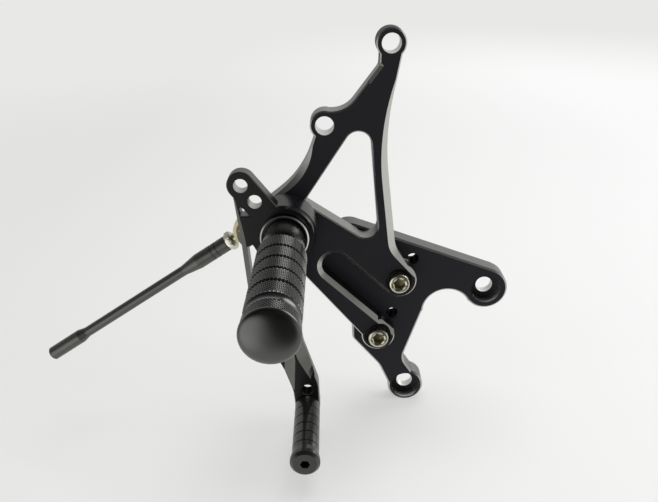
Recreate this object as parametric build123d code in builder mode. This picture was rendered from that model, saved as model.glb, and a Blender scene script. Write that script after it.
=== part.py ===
"""Left-hand rear set for a motorbike: frame plate, peg plate, foot peg, gear lever and shift rod.

Millimetres, +Z up, +X to the rear of the bike, -Y outboard. The origin is the centre of the lower
frame bolt hole on the face that lies against the frame. Distances "out" are measured from that face
towards the rider's boot, so a point at out = 20 has Y = -20. Points in the plate plane are (X, Z).
"""
import os
from math import cos, hypot, radians, sin, sqrt

from build123d import *

# Room between pieces, and small edges
CLEARANCE = 0.6
THREAD_PLAY = 0.1
FIT_PLAY = 0.05
RUNNING_GAP = 0.3
EDGE_BREAK = 0.6
SOCKET_SHARE = 0.55

# Plates: thicknesses and the hole centres (X, Z) that every outline hangs on
FRAME_PLATE_T = 10.0
PEG_PLATE_T = 10.0
LOWER_HOLE = (0.0, 0.0)
REAR_HOLE = (38.5, 58.4)
TOP_RISE = 180.0
TOP_HOLE = (-14.7, TOP_RISE)
MIDDLE_RISE = 144.6
MIDDLE_HOLE = (-43.3, MIDDLE_RISE)
UPPER_SCREW = (-7.1, 67.8)
LOWER_SCREW = (-16.4, 37.2)
PIVOT = (-61.0, 99.0)
FRAME_HOLE_D = 8.5
FRAME_BORE_D = 15.0
FRAME_BORE_DEPTH = 5.5
RING_R = 6.6
UPPER_LOBE_R = 8.7
LOWER_LOBE_R = 8.3
PIVOT_LOBE_R = 13.0
REAR_LOBE_R = 10.8
LOWER_END_R = 9.3
ARCH_R = 12.3
ARCH_ANGLE = 214.0
FRAME_EDGE = 0.9
ADJUST_STEPS = [(7.6, 7.4), (0.0, -10.6)]

# Peg plate bevels and slot
SIDE_BEVEL = 3.4
SLOT_END = (-38.5, 75.6)
SLOT_ANGLE = -42.3
SLOT_W = 12.7
SLOT_BEVEL = 2.2
NECK_BEVEL = 2.4
PLATE_EDGE = 0.6

# Plate screws, M6
SCREW_D = 6.0
SCREW_HEAD_D = 10.0
SCREW_HEAD_H = 6.0
SCREW_HEX = 5.0
SCREW_SEAT_D = 13.0
SCREW_SEAT_DEPTH = 2.0
SCREW_TIP_OUT = 2.0

# Pivot: bolt, sleeve, ball bearings, spacer and shim between the peg plate and the collar
PEG_BOLT_D = 8.0
PEG_BOLT_HEAD_D = 13.0
PEG_BOLT_HEAD_H = 5.0
PEG_BOLT_HEX = 5.0
PEG_BOLT_GRIP = 20.0
PEG_TAP_ROOM = 3.0
PEG_SEAT_DEPTH = 3.0
WASHER_D = 16.0
WASHER_T = 1.5
SLEEVE_WALL = 0.85
SLEEVE_SPIGOT = 3.0
SLEEVE_SHORT = 0.3
BEARING_DEPTH = 4.5
BEARING_W = 5.0
BEARING_RING_T = 1.15
RACE_DEPTH = 0.4
BALL_COUNT = 7
SEAL_T = 0.3
SHIM_T = 0.8
SHIM_WALL = 1.05
SPACER_L = 6.6

# Gear lever
ARM_T = 7.0
HUB_WALL = 4.7
ARM_HALF_W = 6.2
LINK_ANGLE = 128.8
LINK_RADII = [20.6, 30.0]
LINK_HOLE_D = 6.3
TOE_STEP = (9.0, -92.3)
TOE_R = 6.3
TOE_SPARE_RISE = 9.5
TOE_HOLE_D = 6.0
LEVER_BEVEL = 4.5
LEVER_SLOPE = 50.0
LEVER_EDGE = 0.4
HUB_BEVEL = 1.3
HUB_BEVEL_STEP = (-0.5, -0.7)

# Foot peg
NECK_D = 18.4
NECK_L = 19.0
PEG_STEP = 1.5
KNURL_L = 51.6
GROOVE_COUNT = 4
GROOVE_LEAD = 11.1
GROOVE_TAIL = 9.4
GROOVE_W = 1.2
GROOVE_DEPTH = 0.6
WAIST_DEPTH = 1.0
WAIST_L = 5.2
END_BAND_L = 6.0
CAP_LIP = 0.2
CAP_EDGE = 0.6
CAP_DOME = 3.0
CAP_WALL = 2.2
CAP_SPIGOT_L = 10.0
CAP_ROOM = 1.0
COLLAR_LIP = 1.4
COLLAR_T = 3.7
COLLAR_LIFT = 0.5
COLLAR_DISH = 1.7

# Toe peg
TOE_PEG_D = 12.4
TOE_PEG_L = 43.0
TOE_FLARE = 0.65
TOE_FLARE_L = 3.2
TOE_END_BEVEL = 1.3
TOE_RING_PITCH = 6.4
TOE_RINGS = 5
TOE_RING_DEPTH = 0.4
TOE_HEX = 4.0
TOE_HEX_DEPTH = 8.0

# Shift rod and its ball joint
ROD_ANGLE = 33.6
JOINT_RISE = -1.6
JOINT_WALL = 1.0
JOINT_ROOM = 0.45
JOINT_LUG_R = 4.2
JOINT_BOLT_D = 4.0
JOINT_HEAD_D = 7.0
JOINT_HEAD_H = 2.2
JOINT_HEX = 2.5
JOINT_THREAD = 3.6
JOINT_WASHER_T = 1.2
JOINT_WASHER_D = 6.5
JOINT_BALL_W = 6.5
JOINT_BALL_LIP = 0.9
LINER_WALL = 0.95
EYE_WALL = 1.5
EYE_T = 5.0
EYE_NECK_D = 4.8
EYE_NECK_L = 1.0
EYE_TAPER_L = 1.4
SHANK_D = 5.0
SHANK_SHOWN = 1.6
SHANK_GRIP = 13.6
SHANK_ROOM = 2.0
NUT_AF = 8.0
NUT_T = 3.2
ROD_L = 110.2
ROD_NEAR_D = 7.4
ROD_THIN_D = 4.9
ROD_FAR_D = 6.7
ROD_NEAR_L = 17.6
ROD_FAR_L = 18.7
ROD_NEAR_TAPER_L = 8.6
ROD_FAR_TAPER_L = 4.2
ROD_RING_STEPS = [5.2, 8.0]
ROD_RING_W = 0.9
ROD_RING_DEPTH = 0.35
ROD_TAP_D = 4.2
ROD_TAP_DEPTH = 18.0

# Diameters that follow from the pieces inside
SLEEVE_BORE = PEG_BOLT_D + CLEARANCE / 2
SLEEVE_D = SLEEVE_BORE + 2 * SLEEVE_WALL
SHIM_D = SLEEVE_D + 2 * (FIT_PLAY + SHIM_WALL)
BEARING_OD = SLEEVE_D + 2 * BEARING_DEPTH
BEARING_INNER_D = SLEEVE_D + 2 * (FIT_PLAY + BEARING_RING_T)
BEARING_OUTER_D = BEARING_OD - 2 * (FIT_PLAY + BEARING_RING_T)
RACE_R = (BEARING_INNER_D + BEARING_OUTER_D) / 4
BALL_D = (BEARING_OUTER_D - BEARING_INNER_D) / 2 + 2 * RACE_DEPTH
HUB_R = BEARING_OD / 2 + HUB_WALL
PEG_D = NECK_D + 2 * PEG_STEP
WAIST_D = PEG_D - 2 * WAIST_DEPTH
CAP_D = PEG_D + 2 * CAP_LIP
CAP_SPIGOT_D = WAIST_D - 2 * CAP_WALL
COLLAR_D = NECK_D + 2 * (RUNNING_GAP + COLLAR_LIP)
TOE_FLARE_D = TOE_PEG_D + 2 * TOE_FLARE
JOINT_BALL_D = 2 * sqrt((JOINT_BALL_W / 2) ** 2 + (JOINT_BOLT_D / 2 + JOINT_BALL_LIP) ** 2)
LINER_D = JOINT_BALL_D + 2 * LINER_WALL
EYE_D = LINER_D + 2 * EYE_WALL

# Distances out from the frame face
PEG_FACE = FRAME_PLATE_T + PEG_PLATE_T
SCREW_SEAT = PEG_FACE - SCREW_SEAT_DEPTH
BEARING_STARTS = [PEG_FACE + SHIM_T, PEG_FACE + SHIM_T + BEARING_W + SPACER_L]
LEVER_FACE = BEARING_STARTS[1] + BEARING_W
LEVER_BACK = LEVER_FACE - ARM_T
HUB_BACK = BEARING_STARTS[0] + RUNNING_GAP
COLLAR_FACE = LEVER_FACE + COLLAR_LIFT + COLLAR_T
BARREL_START = COLLAR_FACE - COLLAR_DISH
KNURL_START = COLLAR_FACE + NECK_L
KNURL_END = KNURL_START + KNURL_L
BAND_START = KNURL_END + WAIST_L
CAP_START = BAND_START + END_BAND_L
BOLT_SEAT = FRAME_PLATE_T + PEG_SEAT_DEPTH - WASHER_T
BOLT_TIP = BARREL_START + PEG_BOLT_GRIP
TOE_END = LEVER_FACE + TOE_PEG_L
BALL_OUTER = LEVER_BACK - JOINT_WASHER_T
BALL_INNER = BALL_OUTER - JOINT_BALL_W
BALL_MID = (BALL_OUTER + BALL_INNER) / 2
EYE_INNER = BALL_MID - EYE_T / 2
EYE_OUTER = BALL_MID + EYE_T / 2

# Distances along the shift rod from the centre of its ball
NUT_START = EYE_D / 2 + SHANK_SHOWN
ROD_START = NUT_START + NUT_T
ROD_END = ROD_START + ROD_L
SHANK_END = ROD_START + SHANK_GRIP
GROOVE_PITCH = (KNURL_L - GROOVE_LEAD - GROOVE_TAIL) / (GROOVE_COUNT - 1)


def shifted(point, dx, dz):
    """Return a point moved by dx, dz in the plate plane."""
    return (point[0] + dx, point[1] + dz)


TOE = shifted(PIVOT, *TOE_STEP)
JOINT = shifted(PIVOT, -(BEARING_OD / 2 + JOINT_WALL + EYE_D / 2 + JOINT_ROOM), JOINT_RISE)
LINK_HOLES = [
    shifted(PIVOT, r * cos(radians(LINK_ANGLE)), r * sin(radians(LINK_ANGLE))) for r in LINK_RADII
]
OUT = Vector(0, -1, 0)
ROD_DIRECTION = Vector(-cos(radians(ROD_ANGLE)), 0, -sin(radians(ROD_ANGLE)))
JOINT_CENTRE = Vector(JOINT[0], -BALL_MID, JOINT[1])


def plate_plane(out):
    """Return the plane parallel to the frame face at a distance out from it."""
    return Plane.XZ.offset(out)


def turn(profile, origin, direction=OUT, radial=Vector(1, 0, 0), mode=Mode.ADD):
    """Revolve a half section of (radius, distance along) points about an axis."""
    start = Vector(*origin)
    with BuildSketch(Plane(origin=start, x_dir=radial, z_dir=radial.cross(direction))) as section:
        with BuildLine():
            Polyline(*profile, close=True)
        make_face()
    revolve(section.sketch, axis=Axis(start, direction), mode=mode)


def axis_origin(point):
    """Return where an axis along Y through a plate point meets the frame face."""
    return (point[0], 0, point[1])


def tube(inner_r, outer_r, start, end):
    """Return the half section of a plain tube."""
    return [(inner_r, start), (outer_r, start), (outer_r, end), (inner_r, end)]


def cap_screw(point, seat, facing, head_d, head_h, shank_d, tip, hex_af):
    """Add a socket cap screw from its seat to its tip, with its head outboard (facing 1) or inboard (-1)."""
    head_r = head_d / 2
    shank_r = shank_d / 2
    bevel = shank_d / 10
    top = seat + facing * head_h
    turn(
        [(0, tip), (shank_r - bevel, tip), (shank_r, tip + facing * bevel), (shank_r, seat),
         (head_r, seat), (head_r, top - facing * bevel), (head_r - bevel, top), (0, top)],
        axis_origin(point),
    )
    with BuildSketch(plate_plane(top)) as socket:
        with Locations(point):
            RegularPolygon(hex_af / 2, 6, major_radius=False)
    extrude(socket.sketch, amount=-facing * head_h * SOCKET_SHARE, mode=Mode.SUBTRACT)


def outline(points, bends, mode=Mode.ADD):
    """Add a closed outline whose corners are rounded by the radius at the same place."""
    with BuildLine() as edge:
        FilletPolyline(*points, radius=bends, close=True)
    make_face(edge.edges(), mode=mode)


def edged_plate(profile, thickness, edge):
    """Add a plate of that profile whose front edge is bevelled all round."""
    extrude(profile, amount=thickness - edge)
    front = Location(OUT * (thickness - edge)) * profile
    extrude(front, amount=edge, taper=45)


os.makedirs("parts", exist_ok=True)

# Frame plate: a rear arm and a lower leg, both counterbored for frame bolts
with BuildPart() as mounting_plate:
    with BuildSketch(plate_plane(0), mode=Mode.PRIVATE) as frame_outline:
        outline(
            [shifted(REAR_HOLE, 3.7, 10.3), shifted(UPPER_SCREW, -27.0, 27.8),
             shifted(SLOT_END, -9.2, 6.0), shifted(SLOT_END, -7.4, -10.4),
             shifted(LOWER_SCREW, -13.0, 4.6), shifted(LOWER_SCREW, -12.6, -7.6),
             shifted(LOWER_HOLE, -14.6, 13.0), shifted(LOWER_HOLE, -8.6, 0.0),
             shifted(LOWER_HOLE, 8.0, 1.5), shifted(LOWER_HOLE, -2.6, 17.0),
             shifted(LOWER_SCREW, 23.0, 8.0), shifted(REAR_HOLE, -5.5, -6.5)],
            [0, 10.0, 6.0, 8.0, 14.0, 4.0, 14.0, 0, 0, 8.0, 0, 0],
        )
        with Locations(REAR_HOLE):
            Circle(REAR_LOBE_R)
        with Locations(LOWER_HOLE):
            Circle(LOWER_END_R)
        arch_reach = ARCH_R + REAR_LOBE_R
        arch_step = (arch_reach * cos(radians(ARCH_ANGLE)), arch_reach * sin(radians(ARCH_ANGLE)))
        with Locations(shifted(REAR_HOLE, *arch_step)):
            Circle(ARCH_R, mode=Mode.SUBTRACT)
    edged_plate(frame_outline.sketch, FRAME_PLATE_T, FRAME_EDGE)
    with Locations(plate_plane(FRAME_PLATE_T)):
        with Locations(LOWER_HOLE, REAR_HOLE):
            CounterBoreHole(FRAME_HOLE_D / 2, FRAME_BORE_D / 2, FRAME_BORE_DEPTH)
        for step in [(0.0, 0.0)] + ADJUST_STEPS:
            with Locations(shifted(UPPER_SCREW, *step), shifted(LOWER_SCREW, *step)):
                Hole((SCREW_D + THREAD_PLAY) / 2)

# Peg plate: two frame rings, a triangular opening, a slot between the screw fingers, wide bevels
with BuildPart() as peg_plate:
    with BuildSketch(plate_plane(FRAME_PLATE_T), mode=Mode.PRIVATE) as peg_outline:
        outline(
            [shifted(TOP_HOLE, 5.3, -2.0), shifted(TOP_HOLE, -1.5, -39.0),
             shifted(UPPER_SCREW, -2.1, 16.7), shifted(UPPER_SCREW, 6.3, 4.7), UPPER_SCREW,
             shifted(LOWER_SCREW, -0.6, 20.8), LOWER_SCREW, shifted(LOWER_SCREW, -4.1, -4.6),
             shifted(PIVOT, -7.6, -10.4), shifted(PIVOT, -8.5, 10.3), shifted(PIVOT, 7.3, 22.9),
             shifted(MIDDLE_HOLE, -4.1, -3.6), shifted(MIDDLE_HOLE, 0.0, 6.3),
             shifted(MIDDLE_HOLE, 9.1, 6.3), shifted(TOP_HOLE, -4.9, -9.6),
             shifted(TOP_HOLE, -4.8, -3.0)],
            [0, 120.0, 16.0, 0, 0, 0, 0, 0, 0, 0, 45.0, 0, 0, 12.0, 4.0, 0],
        )
        with Locations(TOP_HOLE, MIDDLE_HOLE):
            Circle(RING_R)
        with Locations(UPPER_SCREW):
            Circle(UPPER_LOBE_R)
        with Locations(LOWER_SCREW):
            Circle(LOWER_LOBE_R)
        with Locations(PIVOT):
            Circle(PIVOT_LOBE_R)
        outline(
            [shifted(TOP_HOLE, -9.2, -26.3), shifted(UPPER_SCREW, -10, 17.3), shifted(PIVOT, 8.0, 9.4)],
            [6.0, 5.6, 2.2], mode=Mode.SUBTRACT,
        )
    edged_plate(peg_outline.sketch, PEG_PLATE_T, PLATE_EDGE)
    slot_run = hypot(SLOT_END[0] - LOWER_SCREW[0], SLOT_END[1] - LOWER_SCREW[1]) + 2 * LOWER_LOBE_R
    slot_middle = shifted(
        SLOT_END, slot_run / 2 * cos(radians(SLOT_ANGLE)), slot_run / 2 * sin(radians(SLOT_ANGLE))
    )
    with BuildSketch(plate_plane(PEG_FACE)):
        with Locations(slot_middle):
            SlotCenterToCenter(slot_run, SLOT_W, rotation=SLOT_ANGLE)
    extrude(amount=-PEG_PLATE_T, mode=Mode.SUBTRACT)
    with BuildSketch(plate_plane(PEG_FACE)):
        with Locations(slot_middle):
            SlotCenterToCenter(slot_run, SLOT_W + 2 * SLOT_BEVEL, rotation=SLOT_ANGLE)
    extrude(amount=-SLOT_BEVEL, taper=45, mode=Mode.SUBTRACT)
    with BuildSketch(plate_plane(PEG_FACE)):
        outline(
            [shifted(TOP_HOLE, 8.0, 4.0), shifted(TOP_HOLE, -4.9, -39.0),
             shifted(UPPER_SCREW, -5.4, 16.0), shifted(UPPER_SCREW, 9.4, 0.0),
             shifted(UPPER_SCREW, 30.0, 0.0), shifted(TOP_HOLE, 38.0, 4.0)],
            [0, 110.0, 14.0, 0, 0, 0],
        )
    extrude(amount=-SIDE_BEVEL, taper=45, mode=Mode.SUBTRACT)
    with BuildSketch(plate_plane(PEG_FACE)):
        outline(
            [shifted(PIVOT, -17.0, 4.5), shifted(PIVOT, 10.3, 20.8), shifted(MIDDLE_HOLE, -5.0, -6.7),
             shifted(MIDDLE_HOLE, -14.7, -5.1), shifted(PIVOT, -30.0, 40.0), shifted(PIVOT, -30.0, 4.5)],
            [0, 28.0, 0, 0, 0, 0],
        )
    extrude(amount=-SIDE_BEVEL, taper=45, mode=Mode.SUBTRACT)
    with BuildSketch(plate_plane(PEG_FACE)):
        outline(
            [shifted(TOP_HOLE, -7.0, -5.2), shifted(TOP_HOLE, -3.0, -9.4), shifted(TOP_HOLE, -8.6, -17.0),
             shifted(TOP_HOLE, -18.0, -17.0), shifted(TOP_HOLE, -18.0, -5.2)],
            [0, 0, 0, 0, 0],
        )
    extrude(amount=-NECK_BEVEL, taper=45, mode=Mode.SUBTRACT)
    with Locations(plate_plane(PEG_FACE)):
        with Locations(TOP_HOLE, MIDDLE_HOLE):
            Hole(FRAME_HOLE_D / 2)
        with Locations(UPPER_SCREW, LOWER_SCREW):
            CounterBoreHole((SCREW_D + CLEARANCE) / 2, SCREW_SEAT_D / 2, SCREW_SEAT_DEPTH)
        with Locations(PIVOT):
            CounterBoreHole((PEG_BOLT_D + CLEARANCE) / 2, SLEEVE_D / 2 + THREAD_PLAY / 2, SLEEVE_SPIGOT)
    with BuildSketch(plate_plane(FRAME_PLATE_T)):
        with Locations(PIVOT):
            Circle(WASHER_D / 2 + CLEARANCE)
    extrude(amount=PEG_SEAT_DEPTH, mode=Mode.SUBTRACT)

# Two cap screws that hold the plates together
with BuildPart() as plate_screws:
    for screw in (UPPER_SCREW, LOWER_SCREW):
        cap_screw(screw, SCREW_SEAT, 1, SCREW_HEAD_D, SCREW_HEAD_H, SCREW_D, SCREW_TIP_OUT, SCREW_HEX)

# Pivot stack, from the peg plate outwards
pivot_origin = axis_origin(PIVOT)
with BuildPart() as pivot_sleeve:
    turn(tube(SLEEVE_BORE / 2, SLEEVE_D / 2, PEG_FACE - SLEEVE_SPIGOT, LEVER_FACE - SLEEVE_SHORT),
         pivot_origin)

with BuildPart() as pivot_shim:
    turn(tube(SLEEVE_D / 2 + FIT_PLAY, SHIM_D / 2, PEG_FACE, PEG_FACE + SHIM_T), pivot_origin)

with BuildPart() as bearing_spacer:
    turn(tube(SLEEVE_D / 2 + FIT_PLAY, SHIM_D / 2, BEARING_STARTS[0] + BEARING_W, BEARING_STARTS[1]),
         pivot_origin)

with BuildPart() as bearing_inner_rings:
    for start in BEARING_STARTS:
        turn(tube(SLEEVE_D / 2 + FIT_PLAY, BEARING_INNER_D / 2, start, start + BEARING_W), pivot_origin)
        with Locations(Location((PIVOT[0], -start - BEARING_W / 2, PIVOT[1]), (90, 0, 0))):
            Torus(RACE_R, BALL_D / 2 + FIT_PLAY, mode=Mode.SUBTRACT)

with BuildPart() as bearing_outer_rings:
    for start in BEARING_STARTS:
        turn(tube(BEARING_OUTER_D / 2, BEARING_OD / 2 - FIT_PLAY, start, start + BEARING_W), pivot_origin)
        with Locations(Location((PIVOT[0], -start - BEARING_W / 2, PIVOT[1]), (90, 0, 0))):
            Torus(RACE_R, BALL_D / 2 + FIT_PLAY, mode=Mode.SUBTRACT)

with BuildPart() as bearing_balls:
    for start in BEARING_STARTS:
        with Locations(Location((PIVOT[0], -start - BEARING_W / 2, PIVOT[1]), (90, 0, 0))):
            with PolarLocations(RACE_R, BALL_COUNT):
                Sphere(BALL_D / 2)

with BuildPart() as bearing_seals:
    for face in (BEARING_STARTS[0] + SEAL_T, LEVER_FACE - 2 * SEAL_T):
        turn(tube(BEARING_INNER_D / 2 + 2 * FIT_PLAY, BEARING_OUTER_D / 2 - FIT_PLAY, face, face + SEAL_T),
             pivot_origin)

# Gear lever: a skeleton plate with a hub boss, a two-hole link arm and a toe pad
with BuildPart() as gear_lever:
    with BuildSketch(plate_plane(LEVER_BACK), mode=Mode.PRIVATE) as lever_outline:
        outline(
            [shifted(LINK_HOLES[1], -3.8, -2.2), shifted(PIVOT, -20.2, -1.0), shifted(PIVOT, -17.6, -33.0),
             shifted(TOE, -15.4, 26.8), shifted(TOE, -7.0, 8.8), shifted(TOE, -6.1, 0.0),
             shifted(TOE, 6.1, 0.0), shifted(TOE, 5.6, 12.3), shifted(TOE, -2.6, 37.3),
             shifted(PIVOT, 7.4, -33.0), shifted(PIVOT, 8.0, -9.0), PIVOT, LINK_HOLES[0]],
            [0, 60.0, 45.0, 25.0, 10.0, 0, 0, 16.0, 24.0, 30.0, 0, 0, 0],
        )
        outline(
            [shifted(JOINT, 0.45, -3.0), shifted(JOINT, 3.15, -3.0), shifted(PIVOT, -12.0, -9.6),
             shifted(PIVOT, -5.5, -14.4), shifted(PIVOT, 0.8, -15.6), shifted(PIVOT, 1.4, -39.0),
             shifted(TOE, -14.0, 42.3), shifted(PIVOT, -14.9, -33.0)],
            [1.0, 1.0, 6.0, 6.0, 1.5, 6.0, 3.0, 30.0], mode=Mode.SUBTRACT,
        )
        outline(
            [shifted(PIVOT, -19.8, 13.8), shifted(PIVOT, -19.4, 9.2), shifted(PIVOT, -13.0, 9.2)],
            [0.5, 0.5, 0.5], mode=Mode.SUBTRACT,
        )
        with Locations(((PIVOT[0] + LINK_HOLES[1][0]) / 2, (PIVOT[1] + LINK_HOLES[1][1]) / 2)):
            SlotCenterToCenter(LINK_RADII[1], 2 * ARM_HALF_W, rotation=LINK_ANGLE)
        with Locations(PIVOT):
            Circle(HUB_R)
        with Locations(TOE):
            Circle(TOE_R)
        with Locations(JOINT):
            Circle(JOINT_LUG_R)
    edged_plate(lever_outline.sketch, ARM_T, LEVER_EDGE)
    with BuildSketch(plate_plane(HUB_BACK)):
        with Locations(PIVOT):
            Circle(HUB_R)
    extrude(amount=LEVER_FACE - HUB_BEVEL - HUB_BACK)
    with BuildSketch(plate_plane(LEVER_FACE)):
        outline(
            [shifted(PIVOT, -21.5, 17.0), shifted(PIVOT, -18.0, -1.0), shifted(PIVOT, -14.5, -33.0),
             shifted(TOE, -5.6, 29.3), shifted(TOE, -6.4, 9.8), shifted(TOE, -10.0, 3.3),
             shifted(TOE, -48.0, 3.3), shifted(PIVOT, -39.0, 17.0)],
            [0, 60.0, 45.0, 12.0, 0, 0, 0, 0],
        )
    extrude(amount=-LEVER_BEVEL, taper=LEVER_SLOPE, mode=Mode.SUBTRACT)
    with BuildSketch(plate_plane(LEVER_FACE)):
        outline(
            [shifted(PIVOT, 10.5, -31.0), shifted(TOE, -8.4, 34.0), shifted(TOE, 1.6, 15.8),
             shifted(TOE, 4.2, 18.4), shifted(TOE, 32.0, 18.4), shifted(PIVOT, 41.0, -31.0)],
            [0, 24.0, 0, 0, 0, 0],
        )
    extrude(amount=-LEVER_BEVEL, taper=LEVER_SLOPE, mode=Mode.SUBTRACT)
    with BuildSketch(plate_plane(LEVER_FACE)):
        with Locations(shifted(PIVOT, HUB_R, 0.0)):
            Rectangle(2 * HUB_R - HUB_BEVEL, 2 * HUB_R + HUB_BEVEL)
        with Locations(shifted(PIVOT, *HUB_BEVEL_STEP)):
            Circle(HUB_R - HUB_BEVEL / 2, mode=Mode.SUBTRACT)
    extrude(amount=-HUB_BEVEL, taper=45, mode=Mode.SUBTRACT)
    turn(tube(0, EYE_D / 2 + JOINT_ROOM, HUB_BACK, LEVER_BACK), axis_origin(JOINT), mode=Mode.SUBTRACT)
    for start in BEARING_STARTS:
        turn(tube(0, BEARING_OD / 2, start, start + BEARING_W), pivot_origin, mode=Mode.SUBTRACT)
    turn(tube(0, BEARING_OUTER_D / 2, HUB_BACK, LEVER_FACE), pivot_origin, mode=Mode.SUBTRACT)
    with Locations(plate_plane(LEVER_FACE)):
        with Locations(*LINK_HOLES):
            Hole(LINK_HOLE_D / 2)
        with Locations(TOE, shifted(TOE, 0.0, TOE_SPARE_RISE)):
            Hole((TOE_HOLE_D + THREAD_PLAY) / 2)
    turn(tube(0, (JOINT_BOLT_D + THREAD_PLAY) / 2, LEVER_BACK, LEVER_BACK + JOINT_THREAD + CLEARANCE),
         axis_origin(JOINT), mode=Mode.SUBTRACT)

# Foot peg on its bolt: collar, barrel, end cap
with BuildPart() as peg_collar:
    turn(
        [(PEG_BOLT_D / 2 + CLEARANCE / 2, LEVER_FACE), (SHIM_D / 2, LEVER_FACE),
         (SHIM_D / 2, LEVER_FACE + COLLAR_LIFT), (COLLAR_D / 2 - EDGE_BREAK, LEVER_FACE + COLLAR_LIFT),
         (COLLAR_D / 2, LEVER_FACE + COLLAR_LIFT + EDGE_BREAK), (COLLAR_D / 2, COLLAR_FACE - EDGE_BREAK),
         (COLLAR_D / 2 - EDGE_BREAK, COLLAR_FACE), (NECK_D / 2 + RUNNING_GAP, COLLAR_FACE),
         (NECK_D / 2 + RUNNING_GAP, BARREL_START), (PEG_BOLT_D / 2 + CLEARANCE / 2, BARREL_START)],
        pivot_origin,
    )

with BuildPart() as peg_barrel:
    peg_r = PEG_D / 2
    turn(
        [(0, BARREL_START), (NECK_D / 2, BARREL_START), (NECK_D / 2, KNURL_START),
         (peg_r - EDGE_BREAK, KNURL_START), (peg_r, KNURL_START + EDGE_BREAK),
         (peg_r, KNURL_END - EDGE_BREAK), (WAIST_D / 2, KNURL_END + EDGE_BREAK),
         (WAIST_D / 2, BAND_START - EDGE_BREAK), (peg_r, BAND_START + EDGE_BREAK),
         (peg_r, CAP_START), (0, CAP_START)],
        pivot_origin,
    )
    for place in range(GROOVE_COUNT):
        groove = KNURL_START + GROOVE_LEAD + place * GROOVE_PITCH
        turn(
            [(peg_r - GROOVE_DEPTH, groove), (peg_r + GROOVE_DEPTH, groove - GROOVE_W),
             (peg_r + GROOVE_DEPTH, groove + GROOVE_W)],
            pivot_origin, mode=Mode.SUBTRACT,
        )
    turn(tube(0, (PEG_BOLT_D + THREAD_PLAY) / 2, BARREL_START, BOLT_TIP + PEG_TAP_ROOM), pivot_origin,
         mode=Mode.SUBTRACT)
    turn(tube(0, CAP_SPIGOT_D / 2 + FIT_PLAY, CAP_START - CAP_SPIGOT_L - CAP_ROOM, CAP_START),
         pivot_origin, mode=Mode.SUBTRACT)

with BuildPart() as end_cap:
    cap_r = CAP_D / 2
    with BuildSketch(Plane(origin=pivot_origin, x_dir=(1, 0, 0), z_dir=(0, 0, -1))):
        with BuildLine():
            rim = Polyline((0, CAP_START - CAP_SPIGOT_L), (CAP_SPIGOT_D / 2, CAP_START - CAP_SPIGOT_L),
                           (CAP_SPIGOT_D / 2, CAP_START), (cap_r, CAP_START), (cap_r, CAP_START + CAP_EDGE))
            dome = TangentArc((0, CAP_START + CAP_EDGE + CAP_DOME), rim @ 1, tangent=(1, 0))
            Line(rim @ 0, dome @ 0)
        make_face()
    revolve(axis=Axis(pivot_origin, OUT))

with BuildPart() as peg_bolt_washer:
    turn(tube((PEG_BOLT_D + CLEARANCE) / 2, WASHER_D / 2, BOLT_SEAT, BOLT_SEAT + WASHER_T), pivot_origin)

with BuildPart() as peg_bolt:
    cap_screw(PIVOT, BOLT_SEAT, -1, PEG_BOLT_HEAD_D, PEG_BOLT_HEAD_H, PEG_BOLT_D, BOLT_TIP, PEG_BOLT_HEX)

# Toe peg: one turned piece with a threaded stud and a hex socket in its end
with BuildPart() as toe_peg:
    toe_r = TOE_PEG_D / 2
    flare_r = TOE_FLARE_D / 2
    stud_r = TOE_HOLE_D / 2
    turn(
        [(0, LEVER_BACK + EDGE_BREAK), (stud_r - EDGE_BREAK, LEVER_BACK + EDGE_BREAK),
         (stud_r, LEVER_BACK + 2 * EDGE_BREAK), (stud_r, LEVER_FACE), (toe_r - EDGE_BREAK, LEVER_FACE),
         (toe_r, LEVER_FACE + EDGE_BREAK), (toe_r, TOE_END - 2 * TOE_FLARE_L),
         (flare_r, TOE_END - TOE_FLARE_L), (flare_r, TOE_END - TOE_END_BEVEL),
         (flare_r - TOE_END_BEVEL, TOE_END), (0, TOE_END)],
        axis_origin(TOE),
    )
    for ring in range(TOE_RINGS):
        groove = TOE_END - 2 * TOE_FLARE_L - (ring + 0.5) * TOE_RING_PITCH
        turn(
            [(toe_r - TOE_RING_DEPTH, groove), (toe_r + TOE_RING_DEPTH, groove - 2 * TOE_RING_DEPTH),
             (toe_r + TOE_RING_DEPTH, groove + 2 * TOE_RING_DEPTH)],
            axis_origin(TOE), mode=Mode.SUBTRACT,
        )
    with BuildSketch(plate_plane(TOE_END)):
        with Locations(TOE):
            RegularPolygon(TOE_HEX / 2, 6, major_radius=False)
    extrude(amount=-TOE_HEX_DEPTH, mode=Mode.SUBTRACT)

# Ball joint behind the lever bridge
with BuildPart() as joint_bolt:
    cap_screw(JOINT, BALL_INNER, -1, JOINT_HEAD_D, JOINT_HEAD_H, JOINT_BOLT_D,
              LEVER_BACK + JOINT_THREAD, JOINT_HEX)

with BuildPart() as joint_washer:
    turn(tube(JOINT_BOLT_D / 2 + THREAD_PLAY, JOINT_WASHER_D / 2, LEVER_BACK - JOINT_WASHER_T, LEVER_BACK),
         axis_origin(JOINT))

with BuildPart() as joint_ball:
    with Locations(JOINT_CENTRE):
        Sphere(JOINT_BALL_D / 2)
    turn(tube(0, JOINT_BALL_D, BALL_INNER - JOINT_BALL_D, BALL_INNER), axis_origin(JOINT), mode=Mode.SUBTRACT)
    turn(tube(0, JOINT_BALL_D, BALL_OUTER, BALL_OUTER + JOINT_BALL_D),
         axis_origin(JOINT), mode=Mode.SUBTRACT)
    turn(tube(0, JOINT_BOLT_D / 2 + FIT_PLAY, BALL_INNER, BALL_OUTER),
         axis_origin(JOINT), mode=Mode.SUBTRACT)

with BuildPart() as joint_liner:
    turn(tube(0, LINER_D / 2 - FIT_PLAY, EYE_INNER, EYE_OUTER), axis_origin(JOINT))
    with Locations(JOINT_CENTRE):
        Sphere(JOINT_BALL_D / 2 + FIT_PLAY, mode=Mode.SUBTRACT)

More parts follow.
